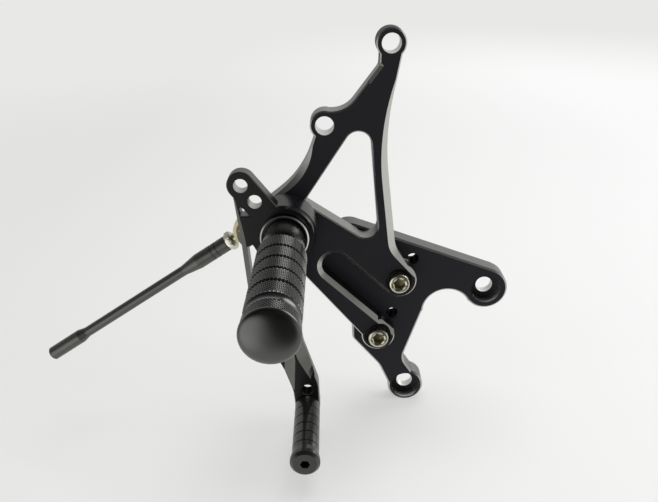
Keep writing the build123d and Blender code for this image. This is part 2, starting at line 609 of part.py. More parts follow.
with BuildPart() as joint_eye:
    eye_r = EYE_D / 2
    turn(tube(0, eye_r, EYE_INNER, EYE_OUTER), axis_origin(JOINT))
    turn(
        [(0, LINER_D / 2), (EYE_NECK_D / 2, LINER_D / 2), (EYE_NECK_D / 2, eye_r + EYE_NECK_L),
         (SHANK_D / 2, eye_r + EYE_NECK_L + EYE_TAPER_L), (SHANK_D / 2, SHANK_END), (0, SHANK_END)],
        JOINT_CENTRE, ROD_DIRECTION, OUT,
    )
    turn(tube(0, LINER_D / 2, EYE_INNER, EYE_OUTER), axis_origin(JOINT), mode=Mode.SUBTRACT)

with BuildPart() as lock_nut:
    with BuildSketch(Plane(JOINT_CENTRE + ROD_DIRECTION * NUT_START, x_dir=OUT, z_dir=ROD_DIRECTION)):
        RegularPolygon(NUT_AF / 2, 6, major_radius=False, rotation=30)
        Circle((SHANK_D + THREAD_PLAY) / 2, mode=Mode.SUBTRACT)
    extrude(amount=NUT_T)

# Shift rod: thick ends, thin middle, tapped at both ends
with BuildPart() as shift_rod:
    near_r = ROD_NEAR_D / 2
    thin_r = ROD_THIN_D / 2
    far_r = ROD_FAR_D / 2
    near_end = ROD_START + ROD_NEAR_L
    far_start = ROD_END - ROD_FAR_L
    turn(
        [(0, ROD_START), (near_r - EDGE_BREAK, ROD_START), (near_r, ROD_START + EDGE_BREAK),
         (near_r, near_end), (thin_r, near_end + ROD_NEAR_TAPER_L), (thin_r, far_start - ROD_FAR_TAPER_L),
         (far_r, far_start), (far_r, ROD_END - EDGE_BREAK), (far_r - EDGE_BREAK, ROD_END),
         (0, ROD_END)],
        JOINT_CENTRE, ROD_DIRECTION, OUT,
    )
    turn(tube(0, (SHANK_D + THREAD_PLAY) / 2, ROD_START, SHANK_END + SHANK_ROOM), JOINT_CENTRE,
         ROD_DIRECTION, OUT, mode=Mode.SUBTRACT)
    for step in ROD_RING_STEPS:
        ring = ROD_START + step
        turn(tube(near_r - ROD_RING_DEPTH, ROD_NEAR_D, ring, ring + ROD_RING_W), JOINT_CENTRE,
             ROD_DIRECTION, OUT, mode=Mode.SUBTRACT)
    turn(tube(0, ROD_TAP_D / 2, ROD_END - ROD_TAP_DEPTH, ROD_END), JOINT_CENTRE, ROD_DIRECTION, OUT,
         mode=Mode.SUBTRACT)

pieces = {
    "mounting_plate": mounting_plate, "peg_plate": peg_plate, "plate_screws": plate_screws,
    "pivot_sleeve": pivot_sleeve, "pivot_shim": pivot_shim, "bearing_spacer": bearing_spacer,
    "bearing_inner_rings": bearing_inner_rings, "bearing_outer_rings": bearing_outer_rings,
    "bearing_balls": bearing_balls, "bearing_seals": bearing_seals, "gear_lever": gear_lever,
    "peg_collar": peg_collar, "peg_barrel": peg_barrel, "end_cap": end_cap,
    "peg_bolt_washer": peg_bolt_washer, "peg_bolt": peg_bolt, "toe_peg": toe_peg,
    "joint_bolt": joint_bolt, "joint_washer": joint_washer, "joint_ball": joint_ball,
    "joint_liner": joint_liner, "joint_eye": joint_eye, "lock_nut": lock_nut, "shift_rod": shift_rod,
}
for label, piece in pieces.items():
    piece.part.label = label
    export_step(piece.part, f"parts/{label}.step")
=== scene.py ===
"""Looks of a left-hand motorbike rear set: anodised plates, gear lever, knurled foot peg, shift rod.

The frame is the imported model's: metres, +Z up, +X to the rear of the bike, -Y outboard. Sizes that
describe the object are written in millimetres and turned to metres where a mesh is placed.
"""

import logging
import math
from dataclasses import dataclass
from enum import Enum
from typing import Any

import bmesh
import bpy
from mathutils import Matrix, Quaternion, Vector


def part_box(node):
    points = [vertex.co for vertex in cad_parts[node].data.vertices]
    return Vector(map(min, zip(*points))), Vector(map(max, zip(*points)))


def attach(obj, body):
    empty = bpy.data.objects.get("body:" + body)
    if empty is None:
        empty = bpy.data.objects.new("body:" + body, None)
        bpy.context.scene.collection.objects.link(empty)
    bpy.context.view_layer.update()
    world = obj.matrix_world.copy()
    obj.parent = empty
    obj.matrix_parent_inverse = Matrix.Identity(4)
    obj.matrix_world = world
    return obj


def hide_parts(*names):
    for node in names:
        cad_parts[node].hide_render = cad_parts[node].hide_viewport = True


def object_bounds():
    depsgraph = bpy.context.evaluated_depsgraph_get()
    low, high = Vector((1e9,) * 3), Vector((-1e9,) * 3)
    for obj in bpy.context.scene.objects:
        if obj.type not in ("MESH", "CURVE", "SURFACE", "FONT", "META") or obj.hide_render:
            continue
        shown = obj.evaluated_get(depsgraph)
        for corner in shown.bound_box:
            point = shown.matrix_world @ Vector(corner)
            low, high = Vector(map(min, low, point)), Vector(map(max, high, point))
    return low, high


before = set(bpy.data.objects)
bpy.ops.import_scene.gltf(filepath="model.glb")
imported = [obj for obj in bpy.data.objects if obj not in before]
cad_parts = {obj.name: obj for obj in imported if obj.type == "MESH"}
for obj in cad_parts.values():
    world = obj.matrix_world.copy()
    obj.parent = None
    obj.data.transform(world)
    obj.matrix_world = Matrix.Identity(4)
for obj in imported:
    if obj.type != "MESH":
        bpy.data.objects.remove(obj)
CAD_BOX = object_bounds()

LOG = logging.getLogger("rear_set")
MM = 0.001
OUTBOARD = Vector((0.0, -1.0, 0.0))
ROD_ANGLE = math.radians(33.6)
ROD_AXIS = Vector((-math.cos(ROD_ANGLE), 0.0, -math.sin(ROD_ANGLE)))
# Attributes of a turned piece's points: how near a crest one is, and the place of its ring.
CREST = "crest"
ROW = "row"
# Layers of a piece that has more than one finish; the socket and groove layers carry painted shade.
SOCKET_SHADE_LAYER = 1
NECK_LAYER = 1
GROOVE_SHADE_LAYER = 2

Tree = bpy.types.NodeTree
Node = bpy.types.Node
Socket = bpy.types.NodeSocket
Pair = tuple[float, float]
Triple = tuple[float, float, float]
# Number of each socket of a Mix node: its two values, its two colours and the mixed colour.
VALUE_A, VALUE_B, COLOUR_A, COLOUR_B, COLOUR_OUT = 2, 3, 6, 7, 2


def linear(hex_colour: str) -> tuple[float, float, float, float]:
    """Turn an sRGB hex colour into linear light.

    Args:
        hex_colour: colour written as "#rrggbb".

    Returns:
        Linear red, green, blue and an alpha of one.
    """
    channels = [int(hex_colour[place:place + 2], 16) / 255 for place in (1, 3, 5)]
    light = [c / 12.92 if c <= 0.04045 else ((c + 0.055) / 1.055) ** 2.4 for c in channels]
    return (light[0], light[1], light[2], 1.0)


def add_node(tree: Tree, kind: str, inputs: dict[Any, Any] | None = None, **settings: Any) -> Node:
    """Add a node with its settings, and link or set its inputs.

    Args:
        tree: node tree that takes the node.
        kind: class name of the node, without the word ShaderNode that starts it.
        inputs: a socket to link from, or a constant, for each input name or number.
        settings: attributes of the node itself.

    Returns:
        The new node.
    """
    node = tree.nodes.new("ShaderNode" + kind)
    for key, value in settings.items():
        setattr(node, key, value)
    for key, value in (inputs or {}).items():
        if isinstance(value, Socket):
            tree.links.new(value, node.inputs[key])
        else:
            node.inputs[key].default_value = value
    return node


def per_mm(size_mm: float) -> float:
    """Return the texture scale that gives a pattern of this size on coordinates in metres."""
    return 1.0 / (size_mm * MM)


@dataclass(frozen=True)
class Ramp:
    """A level that changes over a span of some value and stays the same beyond it.

    Attributes:
        start: value where the change starts.
        end: value where it ends.
        first: level at the start.
        last: level at the end.
    """

    start: float
    end: float
    first: float = 0.0
    last: float = 1.0

    def over(self, value: Socket) -> dict[str, Any]:
        """Return the inputs of a node that follows this ramp over a value."""
        ends = {"From Min": self.start, "From Max": self.end, "To Min": self.first, "To Max": self.last}
        return {"Value": value, **ends}


# Share of the light cut-metal colour, and of the lighter bevel colour among the cuts, by how squarely a
# surface faces along the plate's axis: in part cut metal, in part a painted highlight.
CUT_HIGHLIGHT_SHARE = Ramp(0.86, 0.95, 1.0, 0.0)
BEVEL_HIGHLIGHT_SHARE = Ramp(0.2, 0.5)
# The cutter's lines run along a plate's own axis, so their pattern is stretched along it.
LINE_STRETCH = (1.0, 0.06, 1.0)
# A dyed zone, or a zone of painted bore reflection, goes through the plate, so only X and Z count. Its edge
# is soft, in mm.
PLATE_PLANE = (1.0, 0.0, 1.0)
ZONE_EDGE = 0.2
# Share of the turning rings in a turned surface's marks, and how near a crest the lighter crest colour
# starts, for rubbing and a painted glint.
RING_SHARE = 0.7
WEAR_AND_GLINT_FROM = 0.45
# Roughness of a clear layer.
COAT_ROUGHNESS = 0.12


@dataclass(frozen=True)
class Finish:
    """A surface finish: one material with a fine grain in its colour, roughness and relief.

    Attributes:
        name: what the material is and how its surface was made.
        colour: main colour.
        shade: colour of the darker flecks of the grain.
        metallic: 1 for uncoated or plated metal, 0 for a dyed or moulded surface.
        roughness: roughness at the middle of the grain.
        roughness_spread: how far the grain moves the roughness up and down.
        specular: specular level of the shader.
        coat: weight of a clear layer over the colour.
        grain_mm: size of the grain.
        relief_mm: height of the grain.
    """

    name: str
    colour: str
    shade: str
    metallic: float
    roughness: float
    roughness_spread: float = 0.06
    specular: float = 0.5
    coat: float = 0.0
    grain_mm: float = 0.8
    relief_mm: float = 0.004

    def material(self) -> bpy.types.Material:
        """Make the material of this finish on first use.

        Returns:
            The material, the same one each time.
        """
        made = bpy.data.materials.get(self.name)
        if made is not None:
            return made
        made = bpy.data.materials.new(self.name)
        made.use_nodes = True
        tree = made.node_tree
        tree.nodes.clear()
        shader = add_node(tree, "BsdfPrincipled", {
            "Metallic": self.metallic, "Specular IOR Level": self.specular, "Coat Weight": self.coat,
            "Coat Roughness": COAT_ROUGHNESS,
        })
        add_node(tree, "OutputMaterial", {"Surface": shader.outputs["BSDF"]})
        self.paint(tree, shader)
        return made

    def paint(self, tree: Tree, shader: Node) -> None:
        """Link the grain to the shader's colour, roughness and normal.

        Args:
            tree: node tree of the material.
            shader: its principled shader.
        """
        grain = self.grain(tree)
        blend = {"Factor": grain, COLOUR_A: linear(self.shade), COLOUR_B: linear(self.colour)}
        colour = add_node(tree, "Mix", blend, data_type="RGBA")
        tree.links.new(colour.outputs[COLOUR_OUT], shader.inputs["Base Color"])
        tree.links.new(self.spread(tree, grain, self.roughness), shader.inputs["Roughness"])
        tree.links.new(self.relief(tree, grain), shader.inputs["Normal"])

    def grain(self, tree: Tree) -> Socket:
        """Return a noise in object space with this finish's grain size.

        Args:
            tree: node tree of the material.

        Returns:
            A value between 0 and 1.
        """
        place = add_node(tree, "TexCoord").outputs["Object"]
        noise = add_node(tree, "TexNoise", {"Vector": place, "Scale": per_mm(self.grain_mm), "Detail": 3.0})
        return noise.outputs["Fac"]

    def spread(self, tree: Tree, grain: Socket, middle: Socket | float) -> Socket:
        """Return a roughness that moves about its middle value with the grain.

        Args:
            tree: node tree of the material.
            grain: value between 0 and 1.
            middle: roughness at the middle of the grain.

        Returns:
            The roughness.
        """
        reach = self.roughness_spread
        moved = add_node(tree, "Math", {0: grain, 1: 2 * reach, 2: -reach}, operation="MULTIPLY_ADD")
        total = add_node(tree, "Math", {0: moved.outputs[0], 1: middle}, operation="ADD")
        return total.outputs[0]

    def relief(self, tree: Tree, height: Socket) -> Socket:
        """Return the surface normal of a relief as high as the grain.

        Args:
            tree: node tree of the material.
            height: height as a share of the grain's own.

        Returns:
            The normal.
        """
        bump = add_node(tree, "Bump", {"Height": height, "Distance": self.relief_mm * MM, "Strength": 1.0})
        return bump.outputs["Normal"]


@dataclass(frozen=True)
class Zone:
    """A round zone of a plate, all through its thickness.

    Attributes:
        x: place of its middle along the bike in mm.
        z: height of its middle in mm.
        radius: its radius in mm.
    """

    x: float
    z: float
    radius: float


@dataclass(frozen=True)
class MilledAnodised(Finish):
    """Dyed anodised plate: blasted flat faces, with bevels and side walls painted as light cut metal, in
    part a painted highlight.

    Attributes:
        bevel: colour of the slanting cuts, lighter than the walls as a painted highlight.
        wall: colour of the side walls, cut metal and in part a painted sheen.
        bore_reflection: pale colour of the walls of some holes, a painted reflection of the light from
            above.
        cut_roughness: roughness of all the cuts.
        cutter_mm: spacing of the cutter's lines along a wall.
        cutter_depth_mm: depth of those lines.
        dyed_zones: zones whose walls were dyed like the faces.
        bore_reflection_zones: zones of the holes whose walls take that painted reflection.
    """

    bevel: str = "#a8a8a6"
    wall: str = "#8c8c8a"
    bore_reflection: str = "#e4e4e1"
    cut_roughness: float = 0.3
    cutter_mm: float = 0.9
    cutter_depth_mm: float = 0.003
    dyed_zones: tuple[Zone, ...] = ()
    bore_reflection_zones: tuple[Zone, ...] = ()

    def paint(self, tree: Tree, shader: Node) -> None:
        """Tell faces, bevels and walls apart by how far they turn from the plate's own axis, and paint
        bevels and walls as light cut metal, in part a painted highlight.

        Args:
            tree: node tree of the material.
            shader: its principled shader.
        """
        grain = self.grain(tree)
        place = add_node(tree, "TexCoord")
        facing = add_node(tree, "SeparateXYZ", {0: place.outputs["Normal"]})
        turned = add_node(tree, "Math", {0: facing.outputs["Y"]}, operation="ABSOLUTE").outputs[0]
        slope = add_node(tree, "MapRange", CUT_HIGHLIGHT_SHARE.over(turned)).outputs[0]
        bevel_highlight_share = add_node(tree, "MapRange", BEVEL_HIGHLIGHT_SHARE.over(turned)).outputs[0]
        # Painted reflection: the walls of these holes are painted pale for the light from above that they
        # reflect.
        bore_reflection_share = self.inside(tree, place.outputs["Object"], self.bore_reflection_zones)
        dyed = self.inside(tree, place.outputs["Object"], self.dyed_zones)
        # Share painted as light cut metal: bevels and listed holes everywhere, walls outside the dyed zones.
        # In part painted highlight and painted reflection.
        bright = add_node(tree, "Math", {0: 1.0, 1: dyed}, operation="SUBTRACT").outputs[0]
        for painted_light_share in (bevel_highlight_share, bore_reflection_share):
            bright = add_node(tree, "Math", {0: bright, 1: painted_light_share}, operation="MAXIMUM").outputs[0]
        cut = add_node(tree, "Math", {0: slope, 1: bright}, operation="MULTIPLY").outputs[0]
        blend = {"Factor": grain, COLOUR_A: linear(self.shade), COLOUR_B: linear(self.colour)}
        blasted = add_node(tree, "Mix", blend, data_type="RGBA").outputs[COLOUR_OUT]
        # Painted highlight: walls take the wall colour, bevels the lighter bevel colour, and listed holes
        # the pale painted reflection.
        cut_highlight_colour = linear(self.wall)
        for share, shown in ((bevel_highlight_share, self.bevel), (bore_reflection_share, self.bore_reflection)):
            blend = {"Factor": share, COLOUR_A: cut_highlight_colour, COLOUR_B: linear(shown)}
            cut_highlight_colour = add_node(tree, "Mix", blend, data_type="RGBA").outputs[COLOUR_OUT]
        blend = {"Factor": cut, COLOUR_A: blasted, COLOUR_B: cut_highlight_colour}
        colour = add_node(tree, "Mix", blend, data_type="RGBA").outputs[COLOUR_OUT]
        smoothing = Ramp(0.0, 1.0, self.roughness, self.cut_roughness)
        middle = add_node(tree, "MapRange", smoothing.over(cut)).outputs[0]
        lines = self.cutter_lines(tree, place.outputs["Object"])
        height = add_node(tree, "Mix", {"Factor": cut, VALUE_A: grain, VALUE_B: lines}).outputs[0]
        tree.links.new(colour, shader.inputs["Base Color"])
        tree.links.new(cut, shader.inputs["Metallic"])
        tree.links.new(self.spread(tree, grain, middle), shader.inputs["Roughness"])
        tree.links.new(self.relief(tree, height), shader.inputs["Normal"])

    def cutter_lines(self, tree: Tree, place: Socket) -> Socket:
        """Return the height of the cutter's lines as a share of the grain's height.

        Args:
            tree: node tree of the material.
            place: object coordinates.

        Returns:
            The height.
        """
        lines = add_node(tree, "Mapping", {"Vector": place, "Scale": LINE_STRETCH}).outputs[0]
        pattern = {"Vector": lines, "Scale": per_mm(self.cutter_mm), "Detail": 2.0}
        streaks = add_node(tree, "TexNoise", pattern).outputs["Fac"]
        share = self.cutter_depth_mm / self.relief_mm
        return add_node(tree, "Math", {0: streaks, 1: share}, operation="MULTIPLY").outputs[0]

    def inside(self, tree: Tree, place: Socket, zones: tuple[Zone, ...]) -> Socket | float:
        """Return 1 inside any of the zones and 0 outside, with a soft edge.

        Args:
            tree: node tree of the material.
            place: object coordinates.
            zones: the zones.

        Returns:
            The mask, or 0 where there are no zones.
        """
        flat = add_node(tree, "VectorMath", {0: place, 1: PLATE_PLANE}, operation="MULTIPLY").outputs[0]
        mask: Socket | float = 0.0
        for zone in zones:
            middle = (zone.x * MM, 0.0, zone.z * MM)
            away = add_node(tree, "VectorMath", {0: flat, 1: middle}, operation="DISTANCE").outputs["Value"]
            edge = Ramp(zone.radius * MM, (zone.radius + ZONE_EDGE) * MM, 1.0, 0.0)
            within = add_node(tree, "MapRange", edge.over(away)).outputs[0]
            mask = add_node(tree, "Math", {0: within, 1: mask}, operation="MAXIMUM").outputs[0]
        return mask


@dataclass(frozen=True)
class Turned(Finish):
    """Lathe-turned surface: fine rings round an axis, and crests painted lighter where it is knurled, for
    rubbing and as a painted glint.

    Attributes:
        axis: direction of the lathe axis in the object's frame.
        ring_mm: spacing of the turning rings.
        crest_wear_and_glint: colour of a crest, lighter from rubbing and from a painted glint.
        wear_and_glint_share: how far a crest takes that colour.
    """

    axis: Triple = (0.0, 1.0, 0.0)
    ring_mm: float = 0.35
    crest_wear_and_glint: str = "#6a6a68"
    wear_and_glint_share: float = 0.0

    def paint(self, tree: Tree, shader: Node) -> None:
        """Lay turning rings over the grain, and paint lighter what the crest attribute marks: rubbing and a
        painted glint.

        Args:
            tree: node tree of the material.
            shader: its principled shader.
        """
        grain = self.grain(tree)
        place = add_node(tree, "TexCoord").outputs["Object"]
        along = add_node(tree, "VectorMath", {0: place, 1: self.axis}, operation="DOT_PRODUCT")
        pattern = {"W": along.outputs["Value"], "Scale": per_mm(self.ring_mm), "Detail": 2.0}
        rings = add_node(tree, "TexNoise", pattern, noise_dimensions="1D").outputs["Fac"]
        marks = add_node(tree, "Mix", {"Factor": RING_SHARE, VALUE_A: grain, VALUE_B: rings}).outputs[0]
        blend = {"Factor": marks, COLOUR_A: linear(self.shade), COLOUR_B: linear(self.colour)}
        plain = add_node(tree, "Mix", blend, data_type="RGBA").outputs[COLOUR_OUT]
        # Knurl crests painted lighter: partly rubbing, partly a painted glint on the tips.
        crest = add_node(tree, "Attribute", attribute_name=CREST).outputs["Fac"]
        wear_and_glint = add_node(tree, "MapRange", Ramp(WEAR_AND_GLINT_FROM, 1.0, 0.0, self.wear_and_glint_share).over(crest)).outputs[0]
        blend = {"Factor": wear_and_glint, COLOUR_A: plain, COLOUR_B: linear(self.crest_wear_and_glint)}
        colour = add_node(tree, "Mix", blend, data_type="RGBA").outputs[COLOUR_OUT]
        tree.links.new(colour, shader.inputs["Base Color"])
        tree.links.new(self.spread(tree, marks, self.roughness), shader.inputs["Roughness"])
        tree.links.new(self.relief(tree, marks), shader.inputs["Normal"])


# Real blasting grain, turning rings and cutter's lines are too fine to show in a render, so the finishes
# draw them as coarse as they need to show.

# Black anodised aluminium: blasted fronts stay dark and matt, and the bevels and walls are painted as light
# cut metal, in part a painted highlight.
FRAME_BLACK = MilledAnodised(
    "anodised_aluminium_blasted_blue_black", "#2b2b30", "#222227", 0.0, 0.45, specular=0.2,
    bevel="#b4b4b2", wall="#6e6e6f", grain_mm=0.5,
    bore_reflection_zones=(Zone(38.5, 58.4, 7.6), Zone(0.0, 0.0, 7.6)),
)
PLATE_BLACK = MilledAnodised(
    "anodised_aluminium_blasted_black", "#28282c", "#1f1f23", 0.0, 0.42, specular=0.2,
    bevel="#c4c4c0", wall="#8e8e8b", grain_mm=0.5,
    dyed_zones=(Zone(-14.7, 180.0, 10.2),),
    bore_reflection_zones=(Zone(-14.7, 180.0, 4.4), Zone(-43.3, 144.6, 4.4)),
)
LEVER_BLACK = MilledAnodised(
    "anodised_aluminium_milled_black", "#18181a", "#101012", 0.0, 0.28, specular=0.35,
    bevel="#70706c", wall="#62625f", bore_reflection="#b4b4b0", grain_mm=0.6,
    dyed_zones=(Zone(-61.0, 99.0, 14.7),),
    bore_reflection_zones=(Zone(-73.9, 115.1, 3.3), Zone(-79.8, 122.4, 3.3)),
)
# Black anodised aluminium, turned, its edges broken after dyeing: black faces between thin bright lines,
# painted light metal that is in part a painted highlight.
COLLAR_BLACK = MilledAnodised(
    "anodised_aluminium_turned_black", "#141415", "#0d0d0e", 0.0, 0.2, specular=0.5,
    bevel="#d6d6d2", wall="#3a3a3b", cut_roughness=0.2, grain_mm=0.6,
)
# Black anodised aluminium, turned and knurled: dark flanks, and tips painted lighter, for rubbing and as a
# painted glint.
PEG_BLACK = Turned(
    "anodised_aluminium_knurled_black", "#0a0a0a", "#050505", 0.0, 0.13, specular=0.9, wear_and_glint_share=0.62,
    crest_wear_and_glint="#8c8c88", relief_mm=0.002,
)
# Black anodised aluminium, polished: a dark mirror with long highlights.
NECK_BLACK = Turned(
    "anodised_aluminium_polished_black", "#0e0e0f", "#09090a", 0.0, 0.14, specular=0.8, coat=0.6,
    relief_mm=0.001,
)
# Painted shade: the bottom of a knurl groove takes a darker, duller black than the knurl, standing in for
# the shade there.
GROOVE_PAINTED_SHADE = Finish("anodised_aluminium_groove_painted_shade", "#060606", "#030303", 0.0, 0.6, specular=0.2)
# Nylon moulded in a polished tool: black, with a soft broad highlight.
CAP_BLACK = Finish(
    "nylon_moulded_satin_black", "#0d0d0b", "#090907", 0.0, 0.24, specular=1.0, coat=0.35, grain_mm=0.6,
)
# Hard-anodised aluminium, turned: dark grey, bright along both sides, with rings round the axis.
TOE_GREY = Turned(
    "anodised_aluminium_turned_grey", "#1e1f1b", "#131410", 0.0, 0.3, specular=1.0, relief_mm=0.006,
    ring_mm=0.5,
)
# Anodised aluminium, turned: dark satin grey.
ROD_GREY = Turned(
    "anodised_aluminium_satin_grey", "#6a6a67", "#525250", 0.85, 0.36, axis=tuple(ROD_AXIS), ring_mm=0.5,
    relief_mm=0.003,
)
# Steel, zinc plated: pale silver with a warm cast and faint clouds.
SCREW_ZINC = Finish("steel_zinc_plated", "#dedac8", "#c9c4ae", 1.0, 0.26, grain_mm=2.5, relief_mm=0.004)
# Steel inside a hex socket, painted olive brown and darker than the head: painted shade in the recess.
SOCKET_PAINTED_SHADE = Finish("steel_socket_painted_shade", "#b0a67c", "#5c5538", 0.7, 0.4, grain_mm=0.6, relief_mm=0.006)
# Aluminium, tapped and dyed black: threads that swallow the light.
TAPPED_BLACK = Finish("anodised_aluminium_tapped_black", "#1a1a1b", "#0e0e0f", 0.2, 0.4, grain_mm=0.5)
# Steel, ground: bright, with soft reflections.
BRIGHT_STEEL = Finish("steel_ground_bright", "#e6e5d8", "#d2d1c0", 1.0, 0.38, grain_mm=1.2, relief_mm=0.003)
# Steel, zinc plated and yellow passivated: pale straw with drifting gold.
YELLOW_ZINC = Finish("steel_yellow_zinc", "#efeacd", "#ddd2a4", 1.0, 0.3, grain_mm=3.0, relief_mm=0.004)
# Sintered bronze: brown gold and dull.
LINER_BRONZE = Finish("bronze_sintered", "#9c8a5c", "#786844", 1.0, 0.5, grain_mm=0.5, relief_mm=0.01)
# Nitrile rubber, moulded: black and dull.
SEAL_RUBBER = Finish("nitrile_rubber_moulded", "#1c1c1d", "#141414", 0.0, 0.6, grain_mm=0.4, relief_mm=0.008)


class Section(Enum):
    """Shape of one ring of points round a turned piece's axis."""

    ROUND = "round"
    HEXAGON = "hexagon"
    DIAMOND = "diamond knurl"
    STRAIGHT = "straight knurl"
    THREAD = "screw thread"


@dataclass(frozen=True)
class Ring:
    """One ring of a turned piece.

    Attributes:
        along: distance along the axis in mm.
        radius: outer radius in mm, or half the width across flats of a hexagon.
        section: shape of the ring.
        depth: depth of a knurl or thread in mm.
        pitch: pitch of a thread in mm.
        layer: which of the piece's finishes the faces that reach this ring take.
    """

    along: float
    radius: float
    section: Section = Section.ROUND
    depth: float = 0.0
    pitch: float = 1.0
    layer: int = 0

    def crest(self, column: int, row: int, columns: int) -> float:
        """Return how near a point is to the top of the knurl or thread, from 0 to 1.

        Args:
            column: place of the point round the ring.
            row: place of the ring along the piece.
            columns: points in a ring.

        Returns:
            1 on a crest and on a plain ring, 0 at the bottom.
        """
        if self.section is Section.DIAMOND:
            return float((column + row) % 2)
        if self.section is Section.STRAIGHT:
            return float(column % 2)
        if self.section is Section.THREAD:
            phase = (self.along / self.pitch + column / columns) % 1.0
            return abs(2.0 * phase - 1.0)
        return 1.0

    def reach(self, column: int, row: int, columns: int) -> float:
        """Return the distance from the axis to a point of the ring.

        Args:
            column: place of the point round the ring.
            row: place of the ring along the piece.
            columns: points in a ring.

        Returns:
            The distance in mm.
        """
        if self.section is Section.HEXAGON:
            sixth = math.pi / 3
            turn = (2 * math.pi * column / columns) % sixth - sixth / 2
            return self.radius / math.cos(turn)
        return self.radius - self.depth * (1.0 - self.crest(column, row, columns))


@dataclass
class TurnedPiece:
    """A closed piece made of rings round one or more parallel axes.

    Attributes:
        name: name of the piece.
        starts: where each copy's axis starts, in metres.
        direction: direction of the axes.
        rings: rings in order, closed by a point at each end or by ending where they start.
        columns: points in a ring, even for a knurl and a multiple of six for a hexagon.
        turn: angle of the first point round the axis in degrees.
    """

    name: str
    starts: list[Vector]
    direction: Vector
    rings: list[Ring]
    columns: int = 72
    turn: float = 0.0

    def build(self) -> bpy.types.Object:
        """Spin the profile round each axis and shape its rings.

        Returns:
            The finished object.
        """
        mesh_data = bmesh.new()
        row = mesh_data.verts.layers.int.new(ROW)
        crest = mesh_data.verts.layers.float.new(CREST)
        across = self.direction.orthogonal().normalized()
        across.rotate(Quaternion(self.direction, math.radians(self.turn)))
        for start in self.starts:
            earlier = set(mesh_data.verts)
            profile = []
            for place, ring in enumerate(self.rings):
                spot = start + (self.direction * ring.along + across * ring.radius) * MM
                vert = mesh_data.verts.new(spot)
                vert[row] = place
                profile.append(vert)
            line = [mesh_data.edges.new(pair) for pair in zip(profile, profile[1:])]
            bmesh.ops.spin(
                mesh_data, geom=profile + line, cent=start, axis=self.direction, angle=2 * math.pi,
                steps=self.columns, use_merge=True,
            )
            for vert in mesh_data.verts:
                if vert not in earlier:
                    self.shape(vert, vert[row], start, across, crest)
        bmesh.ops.remove_doubles(mesh_data, verts=mesh_data.verts, dist=1e-7)
        for face in mesh_data.faces:
            face.material_index = max(self.rings[vert[row]].layer for vert in face.verts)
        if any(ring.section is Section.DIAMOND for ring in self.rings):
            bmesh.ops.triangulate(mesh_data, faces=mesh_data.faces, quad_method="SHORT_EDGE")
        bmesh.ops.recalc_face_normals(mesh_data, faces=mesh_data.faces)
        return to_object(mesh_data, self.name)

    def shape(
        self, vert: bmesh.types.BMVert, row: int, start: Vector, across: Vector,
        crest: bmesh.types.BMLayerItem,
    ) -> None:
        """Move one spun point to where its ring's section puts it.

        Args:
            vert: the point.
            row: place of its ring along the piece.
            start: where the axis starts.
            across: direction of the first point of a ring.
            crest: layer that takes how near the point is to a crest.
        """
        ring = self.rings[row]
        if ring.section is Section.ROUND:
            return
        offset = vert.co - start
        angle = math.atan2(offset.dot(self.direction.cross(across)), offset.dot(across))
        column = round(angle / (2 * math.pi) * self.columns) % self.columns
        spoke = offset - self.direction * offset.dot(self.direction)
        reach = ring.reach(column, row, self.columns)
        vert.co += spoke.normalized() * (reach * MM - spoke.length)
        vert[crest] = ring.crest(column, row, self.columns)


@dataclass(frozen=True)
class Thread:
    """The thread inside a tapped hole.

    Attributes:
        bore: diameter of the hole.
        pitch: pitch of the thread.
        depth: depth of the thread.
        skin: thickness of the lining behind the thread.
        rings_a_turn: rings in one turn of the thread.
    """

    bore: float
    pitch: float
    depth: float = 0.4
    skin: float = 0.05
    rings_a_turn: int = 6

    def rings(self, length: float) -> list[Ring]:
        """Return the rings of a lining, from one mouth along the thread to the other and back.

        Args:
            length: length of the lining in mm.

        Returns:
            Rings that end where they start.
        """
        root = self.bore / 2
        back = root + self.skin
        steps = round(length / (self.pitch / self.rings_a_turn))
        rings = [Ring(0.0, back), Ring(0.0, root)]
        for step in range(1, steps):
            rings.append(Ring(length * step / steps, root, Section.THREAD, self.depth, self.pitch))
        return rings + [Ring(length, root), Ring(length, back), Ring(0.0, back)]


def to_object(mesh_data: bmesh.types.BMesh, name: str, crease: float = 32.0) -> bpy.types.Object:
    """Turn a finished bmesh into a smooth-shaded object at the origin.

    Args:
        mesh_data: the mesh, freed here.
        name: name of the object.
        crease: angle in degrees above which an edge stays sharp.

    Returns:
        The object, linked to the scene.
    """
    mesh = bpy.data.meshes.new(name)
    mesh_data.to_mesh(mesh)
    mesh_data.free()
    mesh.polygons.foreach_set("use_smooth", [True] * len(mesh.polygons))
    mesh.set_sharp_from_angle(angle=math.radians(crease))
    made = bpy.data.objects.new(name, mesh)
    bpy.context.scene.collection.objects.link(made)
    return made


def dress(piece: bpy.types.Object, finish: Finish) -> None:
    """Give a piece this finish, in the place of any that it came with.

    Args:
        piece: the piece.
        finish: its finish.
    """
    if piece.data.materials:
        piece.data.materials.clear()
    piece.data.materials.append(finish.material())


def dress_nodes(finishes: dict[str, Finish]) -> None:
    """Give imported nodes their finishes, and report each.

    Args:
        finishes: the finish of each node.
    """
    for node, finish in finishes.items():
        dress(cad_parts[node], finish)
        LOG.info("node %s: %s", node, finish.name)


def settle(
    piece: bpy.types.Object, finish: Finish, body: str, slot: str, *nodes: str,
    layers: tuple[Finish, ...] = (),
) -> None:
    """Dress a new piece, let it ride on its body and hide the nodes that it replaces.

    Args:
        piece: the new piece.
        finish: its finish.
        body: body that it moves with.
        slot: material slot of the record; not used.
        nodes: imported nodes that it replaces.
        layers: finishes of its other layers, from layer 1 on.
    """
    dress(piece, finish)
    for layer in layers:
        piece.data.materials.append(layer.material())
    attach(piece, body)
    if nodes:
        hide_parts(*nodes)
    LOG.info("piece %s: %s, %d faces", piece.name, finish.name, len(piece.data.polygons))


